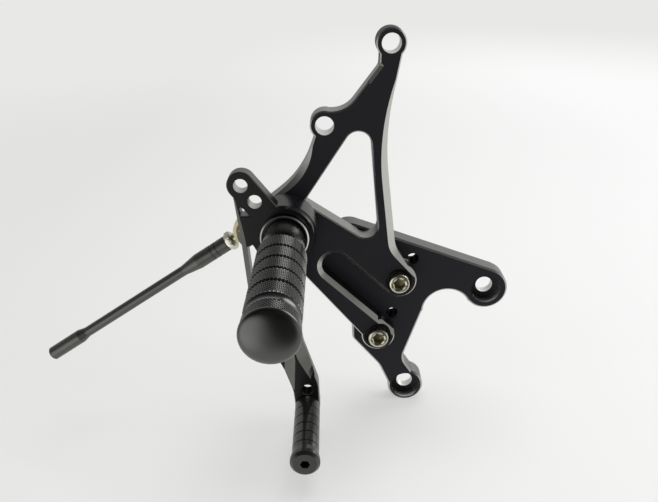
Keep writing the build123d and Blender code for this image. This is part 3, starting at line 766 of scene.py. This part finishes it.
def axis_at(node: str, end: float) -> Vector:
    """Return a point on the axis of a node that was turned about Y.

    Args:
        node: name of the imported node.
        end: 0 for its outboard end, 1 for its inboard end.

    Returns:
        The point in metres.
    """
    low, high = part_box(node)
    middle = (low + high) / 2
    return Vector((middle.x, low.y + (high.y - low.y) * end, middle.z))


@dataclass
class PlateSet:
    """The frame plate, the peg plate and the two screws that hold them together.

    Attributes:
        screws: centres of the screws (X, Z).
        shank_d: diameter of a screw's shank.
        tip_bevel: bevel at its tip.
        tip_out: distance of the tip out from the frame face.
        seat_out: distance of the head's seat out from the frame face.
        head_d: diameter of the head.
        head_h: height of the head.
        head_bevel: bevel under the head.
        rib_depth: depth of the fine ribs round the head.
        rib_end: distance from the head's top to the end of the ribs.
        crown: points of the head's rounded edge, down from its top and in from its side.
        hex_af: width of the hex socket across flats.
        socket_depth: depth of the socket.
        mouth_w: width of the round bevel at the socket's mouth.
        mouth: points where that bevel meets the flats, down from the top and out from a flat.
        drill_cone: depth of the drill's point below the socket.
        spare_steps: places of the spare tapped holes from each screw.
        spare_thread: thread of a spare hole.
        spare_start: distance of that thread from the frame face.
        spare_end: distance of that thread from the plate's front.
        plate_t: thickness of the frame plate.
    """

    screws: tuple[Pair, ...] = ((-7.1, 67.8), (-16.4, 37.2))
    shank_d: float = 6.0
    tip_bevel: float = 0.6
    tip_out: float = 2.0
    seat_out: float = 18.0
    head_d: float = 10.0
    head_h: float = 6.0
    head_bevel: float = 0.3
    rib_depth: float = 0.12
    rib_end: float = 1.2
    crown: tuple[Pair, ...] = ((0.9, 0.0), (0.45, 0.1), (0.15, 0.35), (0.0, 0.8))
    hex_af: float = 5.0
    socket_depth: float = 3.3
    mouth_w: float = 0.75
    mouth: tuple[Pair, ...] = ((0.35, 0.1), (0.5, 0.0))
    drill_cone: float = 0.7
    spare_steps: tuple[Pair, ...] = ((7.6, 7.4), (0.0, -10.6))
    spare_thread: Thread = Thread(6.1, 1.0)
    spare_start: float = 0.2
    spare_end: float = 0.4
    plate_t: float = 10.0

    def build(self) -> None:
        """Dress the plates, and make the screws and the threads of the spare holes."""
        dress_nodes({"mounting_plate": FRAME_BLACK, "peg_plate": PLATE_BLACK})
        starts = [Vector((x, -self.tip_out, z)) * MM for x, z in self.screws]
        piece = TurnedPiece("plate_cap_screws", starts, OUTBOARD, self.screw_rings(), columns=96).build()
        settle(piece, SCREW_ZINC, "bracket", "screw_steel", "plate_screws", layers=(SOCKET_PAINTED_SHADE,))
        spares = [
            Vector((x + step_x, -self.spare_start, z + step_z)) * MM
            for x, z in self.screws
            for step_x, step_z in self.spare_steps
        ]
        lining = self.spare_thread.rings(self.plate_t - self.spare_start - self.spare_end)
        threads = TurnedPiece("frame_plate_threads", spares, OUTBOARD, lining, columns=36).build()
        settle(threads, TAPPED_BLACK, "bracket", "black_anodised")

    def screw_rings(self) -> list[Ring]:
        """Shape one screw: shank, ribbed head and hex socket.

        Returns:
            Rings from its tip to the bottom of its socket.
        """
        seat = self.seat_out - self.tip_out
        top = seat + self.head_h
        shank = self.shank_d / 2
        head = self.head_d / 2
        flat = self.hex_af / 2
        floor = top - self.socket_depth
        rings = [
            Ring(0.0, 0.0), Ring(0.0, shank - self.tip_bevel), Ring(self.tip_bevel, shank),
            Ring(seat, shank), Ring(seat, head - self.head_bevel),
            Ring(seat + self.head_bevel, head, Section.STRAIGHT, self.rib_depth),
            Ring(top - self.rib_end, head, Section.STRAIGHT, self.rib_depth),
        ]
        rings += [Ring(top - down, head - inwards) for down, inwards in self.crown]
        rings.append(Ring(top, flat + self.mouth_w))
        rings += [Ring(top - down, flat + out, Section.HEXAGON) for down, out in self.mouth]
        # Painted shade: the socket's walls and floor take the darker socket finish.
        rings.append(Ring(floor, flat, Section.HEXAGON, layer=SOCKET_SHADE_LAYER))
        rings.append(Ring(floor - self.drill_cone, 0.0, layer=SOCKET_SHADE_LAYER))
        return rings


@dataclass
class PivotStack:
    """Bearings, sleeve, shim and spacer inside the lever hub.

    Attributes:
        steel: the ground steel pieces.
    """

    steel: tuple[str, ...] = (
        "pivot_sleeve", "pivot_shim", "bearing_spacer", "bearing_inner_rings", "bearing_outer_rings",
        "bearing_balls",
    )

    def build(self) -> None:
        """Dress the pieces of the pivot."""
        dress_nodes({node: BRIGHT_STEEL for node in self.steel})
        dress_nodes({"bearing_seals": SEAL_RUBBER})


@dataclass
class FootPeg:
    """The foot peg: collar, knurled barrel, end cap, and the bolt behind.

    Attributes:
        neck_l: length of the polished neck, its start inside the collar included.
        neck_d: diameter of the neck.
        neck_bevel: bevel at its start.
        neck_flare: points of its end, back from the knurl and up from the neck.
        peg_d: diameter over the knurl.
        shoulder: length of the slope from the neck up to the knurl.
        knurl_l: length of the knurled body.
        knurl_pitch: width of a knurl diamond.
        knurl_depth: depth of the knurl.
        groove_lead: distance from the start of the knurl to the first ring groove.
        groove_pitch: spacing of the ring grooves.
        groove_count: number of ring grooves.
        groove_half: half width of a ring groove.
        groove_depth: depth of a ring groove.
        groove_shade_from: share of that depth from which a groove takes the painted shade.
        waist_l: length of the polished waist.
        waist_depth: depth of the waist below its edges.
        waist_edge: depth of its edges below the knurl.
        waist_power: power of the sine that shapes it, low for a flat bottom.
        waist_steps: rings along it.
        band_l: length of the end band.
        band_lead: distance from the waist to the band's knurl.
        end_bevel: bevel at the barrel's end.
        cap_d: diameter of the end cap.
        cap_h: height of the cap from the end of the barrel.
        cap_bevel: bevel at its seat.
        cap_rim: height of the straight part of its rim.
        cap_power: power of the cosine that shapes its crown.
        cap_steps: rings along the crown.
    """

    neck_l: float = 20.7
    neck_d: float = 18.4
    neck_bevel: float = 0.4
    neck_flare: tuple[Pair, ...] = ((0.6, 0.0), (0.1, 0.25))
    peg_d: float = 21.4
    shoulder: float = 0.8
    knurl_l: float = 51.6
    knurl_pitch: float = 1.4
    knurl_depth: float = 0.42
    groove_lead: float = 11.1
    groove_pitch: float = 10.367
    groove_count: int = 4
    groove_half: float = 0.8
    groove_depth: float = 0.9
    groove_shade_from: float = 0.3
    waist_l: float = 5.2
    waist_depth: float = 1.0
    waist_edge: float = 0.2
    waist_power: float = 0.6
    waist_steps: int = 10
    band_l: float = 6.0
    band_lead: float = 0.3
    end_bevel: float = 0.5
    cap_d: float = 21.8
    cap_h: float = 3.6
    cap_bevel: float = 0.25
    cap_rim: float = 0.6
    cap_power: float = 0.9
    cap_steps: int = 16

    def build(self) -> None:
        """Make the knurled barrel and the cap, and dress the rest."""
        columns = 2 * round(math.pi * self.peg_d / self.knurl_pitch)
        start = axis_at("peg_barrel", 1.0)
        barrel = TurnedPiece("foot_peg_barrel", [start], OUTBOARD, self.barrel_rings(), columns).build()
        layers = (NECK_BLACK, GROOVE_PAINTED_SHADE)
        settle(barrel, PEG_BLACK, "bracket", "peg_black", "peg_barrel", layers=layers)
        seat = axis_at("end_cap", 0.0) - OUTBOARD * (self.cap_h * MM)
        cap = TurnedPiece("foot_peg_cap", [seat], OUTBOARD, self.cap_rings(), columns=96).build()
        settle(cap, CAP_BLACK, "bracket", "cap_black", "end_cap")
        dress_nodes({"peg_collar": COLLAR_BLACK, "peg_bolt_washer": BRIGHT_STEEL, "peg_bolt": SCREW_ZINC})

    def barrel_rings(self) -> list[Ring]:
        """Shape the barrel: neck, grooved and knurled body, waist and end band.

        Returns:
            Rings from its seat in the collar to the cap.
        """
        neck = self.neck_d / 2
        peg = self.peg_d / 2
        knurl_start = self.neck_l
        knurl_end = knurl_start + self.knurl_l
        band_start = knurl_end + self.waist_l
        band_end = band_start + self.band_l
        rings = [Ring(0.0, 0.0), Ring(0.0, neck - self.neck_bevel, layer=NECK_LAYER)]
        rings.append(Ring(self.neck_bevel, neck, layer=NECK_LAYER))
        rings += [Ring(knurl_start - back, neck + up, layer=NECK_LAYER) for back, up in self.neck_flare]
        rings += self.knurled(knurl_start + self.shoulder, knurl_end - self.shoulder, peg)
        for step in range(self.waist_steps + 1):
            share = step / self.waist_steps
            drop = self.waist_edge + self.waist_depth * math.sin(math.pi * share) ** self.waist_power
            rings.append(Ring(knurl_end + self.waist_l * share, peg - drop, layer=NECK_LAYER))
        rings += self.knurled(band_start + self.band_lead, band_end - self.end_bevel, peg)
        rings += [Ring(band_end, peg - self.end_bevel), Ring(band_end, 0.0)]
        return rings

    def cap_rings(self) -> list[Ring]:
        """Shape the cap: a flat seat, a short rim and a crown that rounds into it.

        Returns:
            Rings from its seat to its top.
        """
        radius = self.cap_d / 2
        crown = self.cap_h - self.cap_rim
        rings = [Ring(0.0, 0.0), Ring(0.0, radius - self.cap_bevel), Ring(self.cap_bevel, radius)]
        rings.append(Ring(self.cap_rim, radius))
        for step in range(1, self.cap_steps):
            angle = math.pi / 2 * step / self.cap_steps
            reach = radius * math.cos(angle) ** self.cap_power
            rings.append(Ring(self.cap_rim + crown * math.sin(angle), reach))
        rings.append(Ring(self.cap_h, 0.0))
        return rings

    def knurled(self, start: float, end: float, radius: float) -> list[Ring]:
        """Return the rings of a knurled stretch, cut by the ring grooves that fall in it.

        Args:
            start: start of the stretch along the barrel.
            end: end of the stretch.
            radius: radius over the knurl.

        Returns:
            Rings half a diamond apart.
        """
        rows = round((end - start) / (self.knurl_pitch / 2))
        rings = []
        for row in range(rows + 1):
            along = start + (end - start) * row / rows
            cut = self.groove_cut(along)
            depth = self.knurl_depth * (1.0 - cut)
            # Painted shade: rows deep in a groove take the darker groove finish.
            layer = GROOVE_SHADE_LAYER if cut > self.groove_shade_from else 0
            rings.append(Ring(along, radius - self.groove_depth * cut, Section.DIAMOND, depth, layer=layer))
        return rings

    def groove_cut(self, along: float) -> float:
        """Return how deep the nearest ring groove is at a place along the barrel.

        Args:
            along: distance along the barrel in mm.

        Returns:
            1 in the middle of a groove, 0 beyond its edges.
        """
        first = self.neck_l + self.groove_lead
        nearest = min(abs(along - first - self.groove_pitch * n) for n in range(self.groove_count))
        return max(0.0, 1.0 - nearest / self.groove_half)


@dataclass
class GearLever:
    """The gear lever, its toe peg and the spare hole above it.

    Attributes:
        spare: centre of the spare hole (X, Z).
        spare_thread: its thread.
        spare_start: distance of that thread from the lever's back.
        spare_end: distance of that thread from the lever's front.
        back_out: distance of the lever's back from the frame face.
        arm_t: thickness of the lever.
    """

    spare: Pair = (-52.0, 16.2)
    spare_thread: Thread = Thread(6.1, 1.0)
    spare_start: float = 0.3
    spare_end: float = 0.4
    back_out: float = 30.4
    arm_t: float = 7.0

    def build(self) -> None:
        """Dress the lever and the toe peg, and make the thread of the spare hole."""
        dress_nodes({"gear_lever": LEVER_BLACK, "toe_peg": TOE_GREY})
        start = Vector((self.spare[0], -self.back_out - self.spare_start, self.spare[1])) * MM
        lining = self.spare_thread.rings(self.arm_t - self.spare_start - self.spare_end)
        thread = TurnedPiece("toe_spare_thread", [start], OUTBOARD, lining, columns=36).build()
        settle(thread, TAPPED_BLACK, "lever", "black_anodised")


@dataclass
class ShiftRod:
    """The shift rod with its ball joint, lock nut and open threaded end.

    Attributes:
        nut_start: distance of the lock nut from the ball's centre.
        nut_t: thickness of the nut.
        nut_af: width of the nut across flats.
        nut_bore: diameter of the nut's bore.
        nut_bevel: height of the bevel at the nut's corners.
        nut_round: how far the nut's round ends lie inside its flats.
        nut_turn: angle of the nut's first flat in degrees.
        rod_end: distance of the rod's far end from the ball's centre.
        tap_thread: thread of the tapped hole there.
        tap_shown: length of that thread that can be seen.
        tap_end: distance of that thread from the rod's end.
    """

    nut_start: float = 8.356
    nut_t: float = 3.2
    nut_af: float = 8.0
    nut_bore: float = 5.0
    nut_bevel: float = 0.6
    nut_round: float = 0.15
    nut_turn: float = 30.0
    rod_end: float = 121.756
    tap_thread: Thread = Thread(4.2, 0.8, 0.35)
    tap_shown: float = 12.0
    tap_end: float = 0.4

    def build(self) -> None:
        """Make the nut and the far thread, and dress the rest."""
        low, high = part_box("joint_ball")
        centre = (low + high) / 2
        rings = self.nut_rings()
        nut = TurnedPiece("rod_lock_nut", [centre], ROD_AXIS, rings, turn=self.nut_turn).build()
        settle(nut, BRIGHT_STEEL, "rod", "bright_steel", "lock_nut")
        start = centre + ROD_AXIS * (self.rod_end - self.tap_shown - self.tap_end) * MM
        lining = self.tap_thread.rings(self.tap_shown)
        thread = TurnedPiece("rod_end_thread", [start], ROD_AXIS, lining, columns=36).build()
        settle(thread, TAPPED_BLACK, "rod", "rod_black")
        dress_nodes({
            "shift_rod": ROD_GREY, "joint_eye": YELLOW_ZINC, "joint_liner": LINER_BRONZE,
            "joint_ball": BRIGHT_STEEL, "joint_washer": BRIGHT_STEEL, "joint_bolt": SCREW_ZINC,
        })

    def nut_rings(self) -> list[Ring]:
        """Shape the lock nut: six flats, with its corners bevelled round.

        Returns:
            Rings from its bore round the outside and back.
        """
        bore = self.nut_bore / 2
        flat = self.nut_af / 2
        face = flat - self.nut_round
        start = self.nut_start
        end = start + self.nut_t
        return [
            Ring(start, bore), Ring(start, face), Ring(start + self.nut_bevel, flat, Section.HEXAGON),
            Ring(end - self.nut_bevel, flat, Section.HEXAGON), Ring(end, face), Ring(end, bore),
            Ring(start, bore),
        ]


@dataclass(frozen=True)
class Softbox:
    """A rectangular lamp that faces the object.

    Attributes:
        name: name of the lamp.
        place: its position in metres.
        size: its width and height in metres.
        power: its power in watts.
    """

    name: str
    place: Triple
    size: Pair
    power: float


@dataclass(frozen=True)
class Glow:
    """A round soft light, or dark place, in one direction of the room that only reflections show.

    Attributes:
        direction: its direction.
        level: its level by the cosine of the angle from that direction.
    """

    direction: Triple
    level: Ramp


@dataclass
class Studio:
    """Floor, light and camera.

    Reflections show a room that has a level for each direction: X runs to its right, Y to its back, Z up.

    Attributes:
        pale: colour of the floor's left side and of the background.
        floor_lit_right: colour of the floor's right side, painted lighter as if lit from that side.
        floor_r: radius of the floor in metres.
        floor_gap: gap between the object and the floor in mm.
        floor_glow: share of the floor's light that is its own, by the distance from the object.
        floor_light_by_x: share of that lighter colour by X, a painted gradient of light.
        floor_near: share of it by the distance from the object.
        fill: level of the even light from all round.
        lamps: the lamps.
        right_wall: level of the room by X.
        left_wall: what a pale wall on the left adds by X.
        left_low: share of that wall by Z.
        below: share of the floor by Z.
        below_level: level of the floor.
        high: what the high part of the back adds by Z.
        behind: share of the back by Y.
        front: share of the front by Y.
        above: how far the front is dimmed by Z.
        overhead: share of the light that is left by Z.
        viewer: the dark place where the viewer stands.
        glows: a soft lamp at the front left, and a small one at the back right that makes the knurl glint.
        eye: camera position in mm.
        pitch: angle of the camera below the horizon in degrees.
        focal_px: focal length in pixels of the picture.
        picture_w: width of the picture in pixels.
        sensor: width of the camera's sensor in mm.
        clip_start: distance in metres from which the camera sees.
    """

    pale: str = "#e8e8e6"
    floor_lit_right: str = "#ffffff"
    floor_r: float = 7.0
    floor_gap: float = 0.2
    floor_glow: Ramp = Ramp(0.1, 1.2, 0.5, 1.0)
    floor_light_by_x: Ramp = Ramp(-0.3, 0.4)
    floor_near: Ramp = Ramp(0.7, 2.2, 1.0, 0.0)
    fill: float = 0.35
    lamps: tuple[Softbox, ...] = (
        Softbox("top_softbox", (0.05, 0.25, 1.15), (0.9, 0.9), 8.0),
        Softbox("right_softbox", (0.95, -0.2, 0.35), (0.5, 0.8), 4.0),
        Softbox("left_fill", (-0.9, -0.5, 0.5), (0.5, 0.5), 1.2),
    )
    right_wall: Ramp = Ramp(-0.9, 0.9, 0.16, 1.1)
    left_wall: Ramp = Ramp(-0.3, -0.8, 0.0, 0.55)
    left_low: Ramp = Ramp(0.45, 0.05)
    below: Ramp = Ramp(-0.3, -0.65)
    below_level: float = 0.95
    high: Ramp = Ramp(0.1, 0.6, 0.0, 0.4)
    behind: Ramp = Ramp(0.2, 0.7)
    front: Ramp = Ramp(0.1, -0.45)
    above: Ramp = Ramp(-0.1, 0.3, 0.0, 0.88)
    overhead: Ramp = Ramp(0.5, 0.85, 1.0, 0.25)
    viewer: Glow = Glow((0.3, -0.93, -0.15), Ramp(0.75, 0.92, 1.0, 0.12))
    glows: tuple[Glow, ...] = (
        Glow((-0.6, -0.75, -0.25), Ramp(0.82, 0.95, 0.0, 1.2)),
        Glow((0.75, 0.52, 0.4), Ramp(0.92, 0.97, 0.0, 3.0)),
    )
    eye: Triple = (-41.3, -318.6, 215.6)
    pitch: float = 23.8
    focal_px: float = 680.0
    picture_w: float = 658.0
    sensor: float = 36.0
    clip_start: float = 0.01

    def build(self) -> None:
        """Set the view transform and make the floor, the world, the lamps and the camera."""
        bpy.context.scene.view_settings.view_transform = "Standard"
        self.floor()
        self.world()
        for softbox in self.lamps:
            self.lamp(softbox)
        self.camera()

    def floor(self) -> None:
        """Lay a pale floor under the lowest point, fading into the background far away."""
        mesh_data = bmesh.new()
        bmesh.ops.create_circle(mesh_data, cap_ends=True, segments=128, radius=self.floor_r)
        level = CAD_BOX[0].z - self.floor_gap * MM
        bmesh.ops.translate(mesh_data, verts=mesh_data.verts, vec=Vector((0.0, 0.0, level)))
        floor = to_object(mesh_data, "floor")
        floor.visible_glossy = False
        material = bpy.data.materials.new("floor_painted_pale")
        material.use_nodes = True
        self.paint_floor(material.node_tree)
        floor.data.materials.append(material)

    def paint_floor(self, tree: Tree) -> None:
        """Paint the floor: matt near the object, where it takes the shadow, and its own light far away, with
        painted light that grows towards its right side.

        Args:
            tree: node tree of the floor's material.
        """
        tree.nodes.clear()
        place = add_node(tree, "TexCoord").outputs["Object"]
        away = add_node(tree, "VectorMath", {0: place}, operation="LENGTH").outputs["Value"]
        across = add_node(tree, "SeparateXYZ", {0: place}).outputs["X"]
        soft = {"interpolation_type": "SMOOTHSTEP"}
        own = add_node(tree, "MapRange", self.floor_glow.over(away), **soft).outputs[0]
        near = add_node(tree, "MapRange", self.floor_near.over(away), **soft).outputs[0]
        # Painted light: the floor is painted lighter towards its right side.
        right = add_node(tree, "MapRange", self.floor_light_by_x.over(across)).outputs[0]
        share = add_node(tree, "Math", {0: right, 1: near}, operation="MULTIPLY").outputs[0]
        blend = {"Factor": share, COLOUR_A: linear(self.pale), COLOUR_B: linear(self.floor_lit_right)}
        colour = add_node(tree, "Mix", blend, data_type="RGBA").outputs[COLOUR_OUT]
        paint = add_node(tree, "BsdfDiffuse", {"Color": colour}).outputs[0]
        glow = add_node(tree, "Emission", {"Color": colour, "Strength": 1.0}).outputs[0]
        mixed = add_node(tree, "MixShader", {0: own, 1: paint, 2: glow}).outputs[0]
        add_node(tree, "OutputMaterial", {"Surface": mixed})

    def world(self) -> None:
        """Light the object evenly, show a pale background, and give reflections the room."""
        world = bpy.data.worlds.new("studio")
        bpy.context.scene.world = world
        world.use_nodes = True
        tree = world.node_tree
        tree.nodes.clear()
        path = add_node(tree, "LightPath").outputs
        seen = path["Is Camera Ray"]
        for ray in ("Is Glossy Ray", "Is Transmission Ray"):
            seen = add_node(tree, "Math", {0: seen, 1: path[ray]}, operation="MAXIMUM").outputs[0]
        light = add_node(tree, "Background", {"Color": linear("#ffffff"), "Strength": self.fill}).outputs[0]
        shown = {"Factor": path["Is Camera Ray"], VALUE_A: self.room(tree), VALUE_B: 1.0}
        level = add_node(tree, "Mix", shown).outputs[0]
        pale = add_node(tree, "Background", {"Color": linear(self.pale), "Strength": level}).outputs[0]
        mixed = add_node(tree, "MixShader", {0: seen, 1: light, 2: pale}).outputs[0]
        add_node(tree, "OutputWorld", {"Surface": mixed})

    def room(self, tree: Tree) -> Socket:
        """Return how bright the room is in each direction that a reflection can take.

        Args:
            tree: node tree of the world.

        Returns:
            The level.
        """
        way = add_node(tree, "TexCoord").outputs["Generated"]
        across, deep, up = add_node(tree, "SeparateXYZ", {0: way}).outputs
        right, left, left_low, below, high, behind, front, above, overhead = (
            add_node(tree, "MapRange", ramp.over(part)).outputs[0]
            for ramp, part in (
                (self.right_wall, across), (self.left_wall, across), (self.left_low, up), (self.below, up),
                (self.high, up), (self.behind, deep), (self.front, deep), (self.above, up),
                (self.overhead, up),
            )
        )
        walls = add_node(tree, "Math", {0: left, 1: left_low, 2: right}, operation="MULTIPLY_ADD").outputs[0]
        base = add_node(tree, "Mix", {"Factor": below, VALUE_A: walls, VALUE_B: self.below_level}).outputs[0]
        total = add_node(tree, "Math", {0: high, 1: behind, 2: base}, operation="MULTIPLY_ADD").outputs[0]
        dim = add_node(tree, "Math", {0: front, 1: above}, operation="MULTIPLY").outputs[0]
        undimmed = add_node(tree, "Math", {0: 1.0, 1: dim}, operation="SUBTRACT").outputs[0]
        for share in (undimmed, self.level(tree, way, self.viewer), overhead):
            total = add_node(tree, "Math", {0: total, 1: share}, operation="MULTIPLY").outputs[0]
        for glow in self.glows:
            light = self.level(tree, way, glow)
            total = add_node(tree, "Math", {0: total, 1: light}, operation="ADD").outputs[0]
        return total

    def level(self, tree: Tree, way: Socket, glow: Glow) -> Socket:
        """Return the level of a round light or dark place in each direction.

        Args:
            tree: node tree of the world.
            way: the direction.
            glow: the light or dark place.

        Returns:
            The level.
        """
        aim = Vector(glow.direction).normalized()
        towards = add_node(tree, "VectorMath", {0: way, 1: aim}, operation="DOT_PRODUCT").outputs["Value"]
        return add_node(tree, "MapRange", glow.level.over(towards)).outputs[0]

    def lamp(self, softbox: Softbox) -> None:
        """Add a softbox that faces the middle of the object.

        Args:
            softbox: the lamp.
        """
        data = bpy.data.lights.new(softbox.name, "AREA")
        data.shape = "RECTANGLE"
        data.size, data.size_y = softbox.size
        data.energy = softbox.power
        lamp = bpy.data.objects.new(softbox.name, data)
        lamp.location = softbox.place
        aim = (CAD_BOX[0] + CAD_BOX[1]) / 2 - Vector(softbox.place)
        lamp.rotation_euler = aim.to_track_quat("-Z", "Y").to_euler()
        lamp.visible_glossy = False
        bpy.context.scene.collection.objects.link(lamp)

    def camera(self) -> None:
        """Set the camera where the picture was taken from."""
        data = bpy.data.cameras.new("camera")
        data.sensor_fit = "HORIZONTAL"
        data.sensor_width = self.sensor
        data.lens = self.focal_px / self.picture_w * self.sensor
        data.clip_start = self.clip_start
        camera = bpy.data.objects.new("camera", data)
        camera.location = Vector(self.eye) * MM
        camera.rotation_euler = (math.radians(90.0 - self.pitch), 0.0, 0.0)
        bpy.context.scene.collection.objects.link(camera)
        bpy.context.scene.camera = camera


def main() -> None:
    """Build and dress every sub-assembly, then the studio."""
    logging.basicConfig(level=logging.INFO, format="%(message)s")
    for assembly in (PlateSet(), PivotStack(), FootPeg(), GearLever(), ShiftRod(), Studio()):
        LOG.info("%s", type(assembly).__name__)
        assembly.build()


if __name__ == "__main__":
    main()
